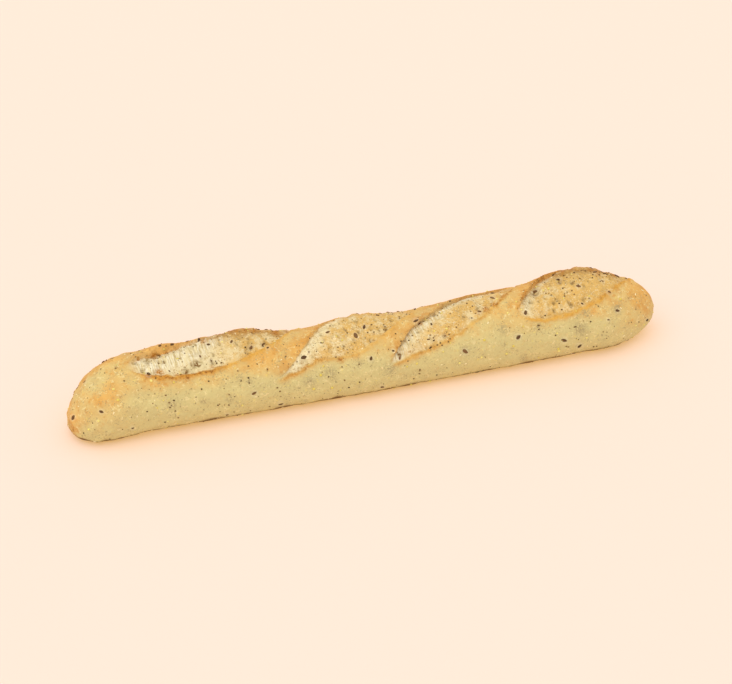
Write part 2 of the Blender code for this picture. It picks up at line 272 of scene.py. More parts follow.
def hump(x, width):
    return np.exp(-(x / width) ** 2)


def between(x, waist, left, right):
    """A size of the loaf along X, from its values at the waist and at both shoulders."""
    return waist + (left - waist) * ease(-x, 0, SHOULDER) + (right - waist) * ease(x, 0, SHOULDER)


def spine(x):
    turned = LEFT_TIP_TURN * ease(-x, SHOULDER, HALF_LENGTH)
    return between(x, WAIST_SPINE, LEFT_SPINE, RIGHT_SPINE) + turned


def close_end(u, power, root):
    """Share of its full size that the loaf has at a share u of an end; the powers blunt it."""
    u = np.clip(u, 0.0, 1.0)
    return (1 - (1 - u) ** power) ** (1 / root)


def skin(x, t):
    """Points of the unscored loaf; t is the angle from the crown, positive to the front."""
    half_width = between(x, WAIST_WIDTH, LEFT_WIDTH, RIGHT_WIDTH) / 2
    height = between(x, WAIST_HEIGHT, LEFT_HEIGHT, RIGHT_HEIGHT)
    left = (x + HALF_LENGTH) / LEFT_END
    right = (HALF_LENGTH - x) / RIGHT_END
    half_width = half_width * close_end(left, 2, 2) * close_end(right, 2.1, 2.1)
    nose = np.where(x < 0, LEFT_NOSE, RIGHT_NOSE)
    top = nose + (height - nose) * close_end(left, 1.9, 1.9) * close_end(right, 2, 2.1)
    bottom = nose * (1 - close_end(left * 1.7, 2, 2) * close_end(right * 1.5, 2, 2))
    tall = top - bottom
    s, c = np.sin(t), np.cos(t)
    widest = tall * WIDEST_AT
    squared = 2 / FLANK_SQUARENESS
    y = np.where(c >= 0, s, np.sign(s) * np.abs(s) ** squared) * half_width
    above = widest + (tall - widest) * c
    below = widest - widest * FLANK_FALL * np.abs(c) ** squared
    z = np.maximum(np.where(c >= 0, above, below), 0.0) + bottom
    return np.stack([x, spine(x) - y, z], axis=-1)


def leaf(along, depth, widest, first, last):
    """Edge that swells from one tip to its depth and back; a small power blunts its tip."""
    rise = np.clip(along / widest, 0.0, 1.0)
    fall = np.clip((1 - along) / (1 - widest), 0.0, 1.0)
    return depth * (1 - (1 - rise) ** 2) ** first * (1 - (1 - fall) ** 2) ** last


def edge(along, leaves):
    return np.max([leaf(along, *each) for each in leaves], axis=0)


def score_places(score, x, v):
    """Share along the score, and the distances inside its back and front edges."""
    (ax, av), (bx, bv) = score["tips"]
    length = math.hypot(bx - ax, bv - av)
    ex, ev = (bx - ax) / length, (bv - av) / length
    along = ((x - ax) * ex + (v - av) * ev) / length
    across = (v - av) * ex - (x - ax) * ev
    inside = np.clip(along, 0.0, 1.0)
    from_back = across + edge(inside, score["back"])
    from_front = edge(inside, score["front"]) - across
    return along, across, from_back, from_front, (length, -ev, ex)


def ripple(points, wave, amount, offset):
    """Smooth noise over points; wave is one length, or one for each axis."""
    scaled = np.asarray(points) / np.asarray(wave) + np.asarray(offset)
    return amount * np.array([noise.noise(p) for p in scaled.tolist()])


def ring_positions(share):
    """Station along X for a share of the way from tip to tip, evenly spaced over the skin."""
    left, right = LEFT_END * math.pi / 2, RIGHT_END * math.pi / 2
    middle = 2 * HALF_LENGTH - LEFT_END - RIGHT_END
    walk = share * (left + middle + right)
    from_left = LEFT_END * (1 - np.cos(np.clip(walk / LEFT_END, 0, math.pi / 2)))
    straight = np.clip(walk - left, 0, middle)
    past = np.clip((walk - left - middle) / RIGHT_END, 0, math.pi / 2)
    return -HALF_LENGTH + from_left + straight + RIGHT_END * np.sin(past)


def turns_of_ring(x, around):
    """Angles round one ring, closer together where it crosses the edge of a score."""
    t = np.linspace(-math.pi, math.pi, RING_SAMPLES)
    v = ARC_RADIUS * t
    thick = np.where(np.abs(t) < UNDERSIDE_TURN, 1.0, UNDERSIDE_DENSITY)
    for score in SCORES:
        along, _, from_back, from_front, _ = score_places(score, np.full_like(v, x), v)
        taper = ease(along, -0.05, 0.08) * ease(along, 1.05, 0.92)
        thick += taper * (1.7 * hump(from_back - 0.7, 3.2) + 0.9 * hump(from_front, 3.0))
    walked = np.concatenate([[0], np.cumsum((thick[1:] + thick[:-1]) / 2)])
    return np.interp(np.arange(around) / around, walked / walked[-1], t)


def fading(along, start, end, loss):
    return 1 - loss * ease(along, start, end)


def relief(x, v, flat):
    """Height over the skin, shift along it, and the masks that the colours follow."""
    masks = {name: np.zeros_like(x) for name in
             ("crumb", "toast", "wall", "bake", "golden", "strand", "foot", "shelter",
              "blush", "rind")}

    def raise_mask(name, *factors):
        """Bring a mask up to the product of the factors, where that is higher."""
        masks[name] = np.maximum(masks[name], math.prod(factors))

    height, shift_x, shift_v = (np.zeros_like(x) for _ in range(3))
    tear = ripple(flat, 6.0, 1.5, (5, 2, 8)) + ripple(flat, 2.4, 0.7, (1, 7, 3))
    for number, (score, baking) in enumerate(zip(SCORES, BAKING)):
        along, across, from_back, from_front, (length, nx, nv) = score_places(score, x, v)
        taper = ease(along, 0.0, 0.07) * ease(along, 1.02, 0.86)
        lifted = ease(along, 0.0, 0.24) ** 0.7 * fading(along, *baking["lip_fade"])
        from_back = from_back + tear * 0.5
        from_front = from_front + tear
        opened = ease(from_back, 0, STEP) * ease(from_front, -0.3, STEP) * taper
        lip = ease(from_back, -score["lip_width"], 0) ** 1.6 * ease(from_back, STEP, 0.3)
        lip = lip * ease(from_front, -2, 4) * taper * lifted
        hollow = hump(from_back, score["hollow_width"]) * opened * (0.3 + 0.7 * lifted)
        ridge = hump(from_front + 1.2, 2.2) * taper * ease(from_back, 2, 8)
        gutter = hump(np.maximum(from_front, 0), 5.0) * opened
        at, off = score["dome_at"]
        size_s, size_w = score["dome_size"]
        dome = np.exp(-((along - at) * length / size_s) ** 2 - ((across - off) / size_w) ** 2)
        threads = np.stack([along * length / 1.7, across / 12.0, np.full_like(x, 3.0 * number)],
                           -1)
        strand = (1 - np.abs(ripple(threads, 1.0, 2.4, (0, 0, 0)))).clip(0, 1) ** 2
        near = (opened * baking["strands"] * fading(along, *baking["strand_fade"])
                * ease(from_back, baking["strand_reach"] + 4, baking["strand_reach"] - 4))
        height += (score["lip"] * lip - score["hollow"] * hollow + score["dome"] * dome
                   + score["ridge"] * (ridge - gutter) + 0.65 * (strand - 0.3) * near)
        over = score["overhang"] * taper * lifted * (hump(from_back + 0.4, 1.8)
                                                     - 0.7 * hump(from_back - 2.3, 1.5))
        shift_x += over * nx
        shift_v += over * nv
        ridge_here = baking["ridge_toast"] * fading(along, *baking["ridge_fade"])
        lip_rim = baking["lip_toast"] * hump(from_back + 0.3, 1.5) * ease(from_front, 0, 5)
        ridge_rim = ridge_here * hump(from_front + 0.5, 1.7) * ease(from_back, 1, 6)
        raise_mask("crumb", opened)
        raise_mask("strand", near)
        raise_mask("wall", baking["wall"], taper, lifted,
                   ease(from_back, -1.5, 0), ease(from_back, 3.0, 1.6))
        # Painted shade with brown flecks at the foot of a lip's wall, under its overhang.
        raise_mask("foot", baking["foot"], taper, hump(from_back - 2.7, 1.2),
                   ease(from_front, 0, 6))
        # Painted shade: the crumb just inside the back edge, under the lip, is made greyer and
        # darker.
        raise_mask("shelter", baking["shelter"], opened, ease(from_back, 14, 4))
        raise_mask("blush", baking["blush"], taper, ease(from_back, -15, -3),
                   ease(from_front, 0, 6))
        raise_mask("toast", np.maximum(lip_rim, ridge_rim), taper)
        raise_mask("rind", baking["rind"], taper, hump(from_front + 1.0, 1.6),
                   ease(from_back, 1, 6))
        raise_mask("golden", taper, hump(np.minimum(from_front, 0), 4.2),
                   ease(from_front, 1, -1), np.maximum(ridge_here, 0.6))
        low, high = baking["bake"]
        bake = low + (high - low) * ease(along, *baking["bake_from"]) * ease(from_back, 3, 15)
        masks["bake"] = np.where(opened > 0.02, bake, masks["bake"])
    return height, shift_x, shift_v, masks


def spots(at_x, at_y, places):
    """Mask of soft round spots, each (x, y, radius)."""
    mask = np.zeros_like(at_x)
    for x, y, radius in places:
        mask = np.maximum(mask, hump(np.hypot(at_x - x, at_y - y), radius))
    return mask


def bread_points(shape, studio):
    """Every ring's vertices between two poles, displaced, with the colour masks."""
    rings, around = shape.rings, shape.around
    stations = ring_positions(np.arange(1, rings) / rings)
    x = np.repeat(stations, around)
    t = np.concatenate([turns_of_ring(station, around) for station in stations])
    x = np.concatenate([[-HALF_LENGTH], x, [HALF_LENGTH]])
    t = np.concatenate([[0.0], t, [0.0]])
    v = ARC_RADIUS * t
    plain = skin(x, t)
    outward = smooth_normals(plain, rings, around)
    height, shift_x, shift_v, masks = relief(x, v, plain)

    clear = ease(plain[:, 2], 0.5, CLEAR_OF_TABLE)
    crust = 1 - masks["crumb"]
    height += ripple(plain, 30.0, shape.crust_unevenness / MM, (3, 1, 7)) * clear
    height += ripple(plain, 9.0, shape.crumb_lumps / MM, (9, 4, 2)) * masks["crumb"]
    height += ripple(plain, 6.5, 0.5, (2, 6, 4)) * clear * crust
    blistered = clear * crust * ease(-x, 165, 215)
    height += ripple(plain, 8.5, 1.5, (7, 7, 2)) * blistered
    fine = ripple(plain, 2.6, 1.0, (8, 3, 5))
    height += fine * clear * (0.18 * crust + shape.crumb_grain / MM * masks["crumb"])
    pores = ripple(plain, (4.0, 5.5, 5.5), 1.0, (4, 9, 1))
    # Painted shade: the crumb is darkened where its fine grain dips.
    masks["cavity"] = np.clip(0.5 + fine * 0.9, 0, 1)
    masks["crest"] = ease(-v, 7, 14) * ease(plain[:, 2], 20, 44) * (1 - 0.5 * ease(-v, 18, 30))
    masks["crown"] = sum(hump(v - arc, width) * ease(x, start - 9, start + 9)
                         * ease(x, end + 8, end - 8) for arc, width, start, end in FAR_RIMS)
    masks["pale"] = spots(x, v, PALE_PATCHES)

    end = np.clip(x + shift_x, -HALF_LENGTH, HALF_LENGTH)
    moved = skin(end, t + shift_v / ARC_RADIUS) + outward * height[:, None]
    moved[:, 2] = np.where(clear == 0.0, np.maximum(moved[:, 2], 0.0), moved[:, 2])
    crinkle = ripple(plain, 9.0, 1.8, (6, 6, 1)) + ripple(plain, 3.2, 0.6, (2, 1, 9))
    moved[:, 1] -= np.sin(t) * crinkle * ease(plain[:, 2], 9, 1) * ease(np.abs(t), 1.2, 1.7)
    middle = (moved.min(axis=0) + moved.max(axis=0)) / 2
    moved[:, :2] -= middle[:2]

    across, down, _ = in_picture(moved * MM, outward, studio).T
    marks = {name: spots(across, down, [(*place, size * MARK_RADIUS)
                                        for place, size, _ in seen(table)])
             for name, table in (("pit", TORN_PITS), ("toast", SCORCHES), ("smudge", SMUDGES))}
    # Pits are sunk into the crumb, and their colour is painted shade in the pores.
    pit = np.maximum(ease(pores, 0.34, 0.60) * 0.6, marks["pit"]) * masks["crumb"]
    moved -= outward * (PIT_DEPTH * pit)[:, None]
    masks["pit"], masks["smudge"] = pit, marks["smudge"]
    masks["toast"] = np.maximum(masks["toast"], SCORCH_STRENGTH * marks["toast"])
    toward = np.array(camera_pose(studio)[0]) - moved * MM
    facing = (outward * toward).sum(axis=1) / np.linalg.norm(toward, axis=1)
    halos = sum(hump(np.hypot(across - at_x, down - at_y) - HALO_RADIUS * size, HALO_WIDTH)
                for (at_x, at_y), size, _ in seen(FLAX_SEEN))
    masks["halo"] = halos.clip(0, 1) * ease(facing, 0.2, 0.5)
    return moved * MM, np.stack([x, v, np.zeros_like(x)], -1), masks


def ring_faces(rings, around):
    """Quads between neighbouring rings and a fan of triangles round each pole."""
    ring, column = np.meshgrid(np.arange(rings - 2), np.arange(around), indexing="ij")
    here = 1 + ring * around + column
    beside = 1 + ring * around + (column + 1) % around
    quads = np.stack([here, beside, beside + around, here + around], -1).reshape(-1, 4)
    first = [(0, 1 + (c + 1) % around, 1 + c) for c in range(around)]
    start, tip = 1 + (rings - 2) * around, 1 + (rings - 1) * around
    last = [(tip, start + c, start + (c + 1) % around) for c in range(around)]
    return quads.tolist() + first + last


def values_of(items, name, width=1):
    """One property of every item as an array, with a row for each where width is over one."""
    found = np.empty(len(items) * width)
    items.foreach_get(name, found)
    return found.reshape(-1, width) if width > 1 else found


def smooth_normals(points, rings, around):
    mesh = bpy.data.meshes.new("bread_guide")
    mesh.from_pydata(points.tolist(), [], ring_faces(rings, around))
    normals = values_of(mesh.vertices, "normal", 3)
    bpy.data.meshes.remove(mesh)
    return normals


def add_surface_masks(masks, points, arc, up):
    """The masks that follow the finished surface: the browned top, the browned underside with
    painted contact shade along the bottom, and the left tip.
    """
    along, height = points[:, 0] / MM, points[:, 2] / MM
    masks["top"] = np.clip(ease(height, 33, 50) * ease(up, 0.10, 0.75)
                           + 0.6 * ease(np.abs(along), 185, 232) * ease(height, 10, 38)
                           + 0.25 * ease(along, 205, 235) * ease(height, 18, 34)
                           + 0.25 * ease(-arc, 20, 35)
                           + 0.8 * ease(-along, 239, 248), 0, 1)
    masks["top"] *= 1 - 0.6 * masks.pop("pale")
    uneven = (ripple(points / MM, 16.0, 2.6, (4, 8, 5))
              + ripple(points / MM, 5.0, 1.2, (1, 4, 4)))
    # Painted contact shade: the lowest few millimetres of the flank are darkened where they meet
    # the floor; the flat underside is browned.
    masks["base"] = np.maximum(ease(height + uneven, 7.5, 4.0), ease(up, -0.9, -0.99))
    masks["toast"] = np.maximum(masks["toast"], 0.5 * ease(-along, 243, 249)
                                * ease(height, 20, 11))


# ================================ places in the picture ====================================

def seen(table):
    """Place, size and turn of a table's entries, with places and sizes in picture pixels."""
    entries = []
    for name, read in table.items():
        left, top, times = CLOSE_UPS[name]
        for x, y, *rest in read:
            size, turn = (rest + [0, 0])[:2]
            entries.append(((left + x / times, top + y / times), size / times,
                            math.radians(turn)))
    return entries


def camera_pose(studio):
    """The camera's place, and the turn of its right, up and backward axes."""
    a, e = studio.azimuth, studio.elevation
    back = Vector((math.sin(a) * math.cos(e), -math.cos(a) * math.cos(e), math.sin(e)))
    place = Vector(CAMERA_TARGET) * MM + back * studio.distance
    return place, (-back).to_track_quat("-Z", "Y")


def in_picture(points, normals, studio):
    """Pixels across and down, and pixels per metre, of every point; hidden ones are far off."""
    place, turn = camera_pose(studio)
    to_point = points - np.array(place)
    local = to_point @ np.array(turn.to_matrix())
    scale = studio.lens / SENSOR_WIDTH * PICTURE_WIDTH / -local[:, 2]
    across = PICTURE_WIDTH / 2 + scale * local[:, 0]
    down = PICTURE_HEIGHT / 2 - scale * local[:, 1]
    hidden = (normals * to_point).sum(axis=1) >= 0
    return np.stack([np.where(hidden, -PICTURE_WIDTH, across), down, scale], -1)


# ================================ node helpers =============================================

def feed(tree, socket, value):
    """Link an input to another socket, or set it where the value is a plain one."""
    if isinstance(value, bpy.types.NodeSocket):
        tree.links.new(value, socket)
    else:
        socket.default_value = value


def set_inputs(tree, node, **inputs):
    """Feed a node's inputs, keyed by socket name with _ for a space."""
    for key, value in inputs.items():
        feed(tree, node.inputs[key.replace("_", " ")], value)


def add(tree, kind, place, settings=None, **inputs):
    """A node with its settings and its inputs."""
    node = tree.nodes.new(kind)
    node.location = place
    for key, value in (settings or {}).items():
        setattr(node, key, value)
    set_inputs(tree, node, **inputs)
    return node


def mix_colour(tree, place, share, low, high):
    """A colour mix; share, low and high are sockets or values. Returns the result socket."""
    node = add(tree, "ShaderNodeMix", place, {"data_type": "RGBA"})
    for number, value in ((0, share), (6, low), (7, high)):
        feed(tree, node.inputs[number], value)
    return node.outputs[2]


def remap(tree, place, value, low, high, to_low=0.0, to_high=1.0):
    """A smooth step of the value, from to_low at low to to_high at high."""
    node = add(tree, "ShaderNodeMapRange", place, {"interpolation_type": "SMOOTHSTEP"},
               Value=value, From_Min=low, From_Max=high, To_Min=to_low, To_Max=to_high)
    return node.outputs["Result"]


def calculate(tree, place, operation, *values, clamp=False):
    """A math node fed with sockets or values. Returns the result socket."""
    node = add(tree, "ShaderNodeMath", place, {"operation": operation, "use_clamp": clamp})
    for socket, value in zip(node.inputs, values):
        feed(tree, socket, value)
    return node.outputs[0]


def multiply(tree, place, a, b):
    """The product of two shares, kept between 0 and 1."""
    return calculate(tree, place, "MULTIPLY", a, b, clamp=True)


def attribute(tree, place, name):
    return add(tree, "ShaderNodeAttribute", place, {"attribute_name": name}).outputs["Fac"]


def colour(value):
    """An opaque RGBA from a property's three values."""
    return (value[0], value[1], value[2], 1.0)


def mottle_group():
    """Patchy lightness at two sizes, used by the bread, the seeds and the floor."""
    if "Mottle" in bpy.data.node_groups:
        return bpy.data.node_groups["Mottle"]
    group = bpy.data.node_groups.new("Mottle", "ShaderNodeTree")
    face = group.interface
    face.new_socket("Vector", in_out="INPUT", socket_type="NodeSocketVector")
    for name, value in (("Broad", 60.0), ("Fine", 400.0), ("Strength", 0.15)):
        face.new_socket(name, in_out="INPUT", socket_type="NodeSocketFloat").default_value = value
    face.new_socket("Colour", in_out="INPUT", socket_type="NodeSocketColor")
    face.new_socket("Colour", in_out="OUTPUT", socket_type="NodeSocketColor")
    face.new_socket("Patches", in_out="OUTPUT", socket_type="NodeSocketFloat")
    face.new_socket("Grain", in_out="OUTPUT", socket_type="NodeSocketFloat")
    source = add(group, "NodeGroupInput", (-700, 0)).outputs
    broad = add(group, "ShaderNodeTexNoise", (-450, 150), Vector=source["Vector"],
                Scale=source["Broad"], Detail=3.0, Roughness=0.55).outputs["Fac"]
    fine = add(group, "ShaderNodeTexNoise", (-450, -150), Vector=source["Vector"],
               Scale=source["Fine"], Detail=2.0, Roughness=0.6).outputs["Fac"]
    both = add(group, "ShaderNodeMix", (-200, 60), {"data_type": "FLOAT"})
    for number, value in ((0, 0.4), (2, broad), (3, fine)):
        feed(group, both.inputs[number], value)
    centred = calculate(group, (0, 60), "SUBTRACT", both.outputs[0], 0.5)
    scaled = calculate(group, (160, 60), "MULTIPLY", centred, source["Strength"])
    lighter = calculate(group, (320, 60), "ADD", scaled, 1.0)
    tinted = add(group, "ShaderNodeVectorMath", (480, 60), {"operation": "SCALE"},
                 Vector=source["Colour"], Scale=lighter)
    add(group, "NodeGroupOutput", (700, 0), Colour=tinted.outputs[0], Patches=broad, Grain=fine)
    return group


def mottle(tree, place, vector, value, broad, fine, strength):
    """The mottle group over a colour; the colour is a socket or a value. Returns its outputs."""
    return add(tree, "ShaderNodeGroup", place, {"node_tree": mottle_group()}, Vector=vector,
               Colour=value, Broad=broad, Fine=fine, Strength=strength).outputs


def new_material(name, roughness, specular, viewport):
    material = bpy.data.materials.new(name)
    material.use_nodes = True
    material.diffuse_color = viewport
    tree = material.node_tree
    shader = tree.nodes["Principled BSDF"]
    set_inputs(tree, shader, Roughness=roughness, Specular_IOR_Level=specular)
    return material, tree, shader


# ================================ materials ================================================

def bread_material(tints):
    """Pale flank, golden top, toasted edges and torn crumb, by the mesh's masks."""
    material, tree, shader = new_material("bread_skin", 0.68, 0.22, colour(tints.flank))
    where = add(tree, "ShaderNodeTexCoord", (-2600, 0)).outputs["Object"]
    mask = {name: attribute(tree, (-2600, -200 - 160 * i), name) for i, name in enumerate(
        ("crumb", "toast", "wall", "bake", "golden", "strand", "pit", "cavity", "top", "halo",
         "base", "foot", "crest", "smudge", "shelter", "crown", "blush", "rind"))}
    rows = iter(range(1000, -4000, -110))

    def channels(row, scale, detail, vector=where):
        """Three unrelated noises of one size."""
        noises = add(tree, "ShaderNodeTexNoise", (-2300, row), Vector=vector, Scale=scale,
                     Detail=detail, Roughness=0.6)
        split = add(tree, "ShaderNodeSeparateColor", (-2100, row), Color=noises.outputs["Color"])
        return split.outputs

    def fleck(value, low, high, most, only=None, least=0.0):
        """A share from least at low to most at high, kept to where only has a share too."""
        row = next(rows)
        share = remap(tree, (-1850, row), value, low, high, least, most)
        return share if only is None else multiply(tree, (-1650, row), share, only)

    def painted(place, under, *layers):
        """A colour with tints laid over it one after another, each by its own share."""
        left, row = place
        for column, (tint, share) in enumerate(layers):
            under = mix_colour(tree, (left + 150 * column, row), share, under, colour(tint))
        return under

    broad = channels(600, 34.0, 3.0)
    patch = channels(300, 115.0, 3.0)
    small = channels(0, 330.0, 2.0)
    tiny = channels(-300, 760.0, 2.0)
    curl = channels(900, 210.0, 1.0)

    rises = fleck(broad[0], 0.38, 0.60, 1.0, mask["top"], least=0.52)
    golden = calculate(tree, (-1250, 700), "MAXIMUM", rises, mask["golden"], clamp=True)
    bend = calculate(tree, (-2050, 1100), "SUBTRACT", curl[0], 0.5)
    size_of_bend = calculate(tree, (-1950, 1100), "ABSOLUTE", bend)
    crust = painted(
        (-1050, 600), colour(tints.flank),
        (tints.golden, golden),
        (tints.deep_golden, fleck(patch[0], 0.46, 0.68, 0.75, golden)),
        (tints.deep_golden, fleck(patch[2], 0.30, 0.60, 0.7, mask["blush"])),
        (tints.flour, fleck(small[0], 0.58, 0.74, 0.45, fleck(broad[1], 0.40, 0.62, 0.9))),
        (tints.deep_golden, fleck(small[1], 0.58, 0.70, 0.65,
                                  fleck(golden, 0.0, 0.6, 1.0, least=0.25))),
        (tints.smudge, fleck(tiny[0], 0.55, 0.67, 0.95, fleck(patch[1], 0.42, 0.58, 0.9))),
        (tints.smudge, fleck(tiny[1], 0.38, 0.58, 0.9, mask["smudge"])),
        (tints.yellow, fleck(small[2], 0.64, 0.71, 0.4)),
        # browned underside, with painted contact shade along the bottom of the flank
        (tints.base, mask["base"]),
        (tints.flour, fleck(size_of_bend, 0.042, 0.012, 0.60,
                            fleck(curl[1], 0.54, 0.62, 1.0))))

    lay = add(tree, "ShaderNodeAttribute", (-2600, -3200), {"attribute_name": "skin_place"})
    drawn = add(tree, "ShaderNodeMapping", (-2450, -3200), {"vector_type": "POINT"},
                Vector=lay.outputs["Vector"], Scale=(0.80, 0.065, 1.0),
                Rotation=(0.0, 0.0, math.radians(-14)))
    thread = channels(-3200, 1.0, 2.0, drawn.outputs[0])
    speckled = fleck(patch[0], 0.38, 0.60, 0.85)
    dots = multiply(tree, (-1450, -1100), fleck(tiny[2], 0.54, 0.64, 0.9, speckled),
                    remap(tree, (-1450, -1300), mask["strand"], 0.0, 0.9, 1.0, 0.35))
    pore_shade = fleck(small[1], 0.42, 0.57, 1.30, mask["pit"], least=0.30)
    crumb = painted(
        (-1050, -300), colour(tints.crumb),
        (tints.baked_crumb, fleck(patch[2], 0.36, 0.58, 1.38, mask["bake"], least=0.48)),
        (tints.strand, fleck(thread[0], 0.47, 0.55, 1.0, mask["strand"])),
        (tints.crumb_shade, fleck(thread[1], 0.52, 0.62, 0.62, mask["strand"])),
        (tints.crumb_shade, fleck(mask["cavity"], 0.42, 0.10, 0.45)),
        # painted shade on the crumb under a lip
        (tints.lip_shade_tint, fleck(patch[1], 0.34, 0.6, 1.0, mask["shelter"])),
        (tints.crumb_speck, dots),
        (tints.strand, fleck(tiny[0], 0.44, 0.32, 0.5)),
        # painted shade in the pores, darkest at their cores
        (tints.pit, pore_shade),
        (tints.char, fleck(pore_shade, 0.55, 0.95, 0.80, fleck(tiny[1], 0.44, 0.54, 1.0))),
        (tints.foot_shade_and_toast, fleck(small[2], 0.32, 0.52, 0.9, mask["crown"])))

    toasted = fleck(patch[0], 0.28, 0.54, 1.4, mask["toast"])
    burnt = fleck(tiny[0], 0.38, 0.56, 1.0, toasted, least=0.45)
    looks = painted(
        (650, 200), mix_colour(tree, (500, 200), mask["crumb"], crust, crumb),
        (tints.wall, mask["wall"]),
        (tints.rind, fleck(small[0], 0.24, 0.50, 0.9, mask["rind"])),
        (tints.deep_golden, fleck(patch[1], 0.36, 0.58, 0.38, mask["crest"])),
        (tints.toast, fleck(tiny[1], 0.54, 0.66, 0.45, mask["crest"])),
        (tints.toast, burnt),
        (tints.char, fleck(small[1], 0.50, 0.64, 0.8, burnt)),
        # painted shade and brown flecks at the foot of a lip's wall
        (tints.foot_shade_and_toast, fleck(small[1], 0.46, 0.58, 1.0, mask["foot"])),
        (tints.strand, multiply(tree, (-1450, -2060), mask["halo"], HALO_STRENGTH)))
    patchy = mottle(tree, (1900, 200), where, looks, 85.0, 520.0, 0.42)
    rough = remap(tree, (2100, -60), patchy["Patches"], 0.3, 0.7, 0.58, 0.82)
    dimple = add(tree, "ShaderNodeBump", (1900, -520), Strength=0.55, Distance=0.0012,
                 Height=small[0])
    grain = add(tree, "ShaderNodeTexNoise", (1900, -300), Vector=where, Scale=900.0, Detail=3.0,
                Roughness=0.7)
    bump = add(tree, "ShaderNodeBump", (2100, -300), Strength=0.5, Distance=0.0006,
               Height=grain.outputs["Fac"], Normal=dimple.outputs["Normal"])
    set_inputs(tree, shader, Base_Color=patchy["Colour"], Roughness=rough,
               Normal=bump.outputs["Normal"])
    shader.location, tree.nodes["Material Output"].location = (2350, 200), (2700, 200)
    return material


def seed_material(name, dark, light, roughness, specular):
    """One kind of seed: each seed has its own tint between dark and light, and is mottled."""
    material, tree, shader = new_material(name, roughness, specular, colour(dark))
    where = add(tree, "ShaderNodeTexCoord", (-900, 0)).outputs["Object"]
    tint = attribute(tree, (-900, -220), "tint")
    own = mix_colour(tree, (-650, 0), tint, colour(dark), colour(light))
    patchy = mottle(tree, (-400, 0), where, own, 500.0, 1600.0, 0.5)
    rough = remap(tree, (-200, -180), patchy["Grain"], 0.3, 0.7,
                  roughness - 0.08, roughness + 0.12)
    bump = add(tree, "ShaderNodeBump", (-200, -360), Strength=0.3, Distance=0.0002,
               Height=patchy["Grain"])
    set_inputs(tree, shader, Base_Color=patchy["Colour"], Roughness=rough,
               Normal=bump.outputs["Normal"])
    return material


def floor_material(tint, glow):
    """Plain pale paper, with a painted warm glow that lifts and warms its shadows."""
    material, tree, shader = new_material("studio_paper", 0.9, 0.1, colour(tint))
    where = add(tree, "ShaderNodeTexCoord", (-700, 0)).outputs["Object"]
    patchy = mottle(tree, (-450, 0), where, colour(tint), 1.2, 5.0, 0.02)
    # the glow is painted light in the paper
    set_inputs(tree, shader, Base_Color=patchy["Colour"], Emission_Color=colour(glow),
               Emission_Strength=1.0)
    return material


# ================================ seeds ====================================================

def seed_shape(name, segments, point):
    """A seed one unit long: round, or drawn to a point at one end."""
    around, rings = segments
    turn = np.tile(np.arange(around) / around * math.tau, rings - 1)
    along = np.repeat(-np.cos(np.arange(1, rings) / rings * math.pi), around)
    across = np.sqrt(1 - along ** 2) * (1 - point * np.maximum(along, 0.0))
    sides = np.stack([along, across * np.cos(turn), across * np.sin(turn)], -1) / 2
    mesh = bpy.data.meshes.new(name)
    mesh.from_pydata([(-0.5, 0, 0), *sides.tolist(), (0.5, 0, 0)], [],
                     ring_faces(rings, around))
    mesh.shade_smooth()
    return bpy.data.objects.new(name, mesh)


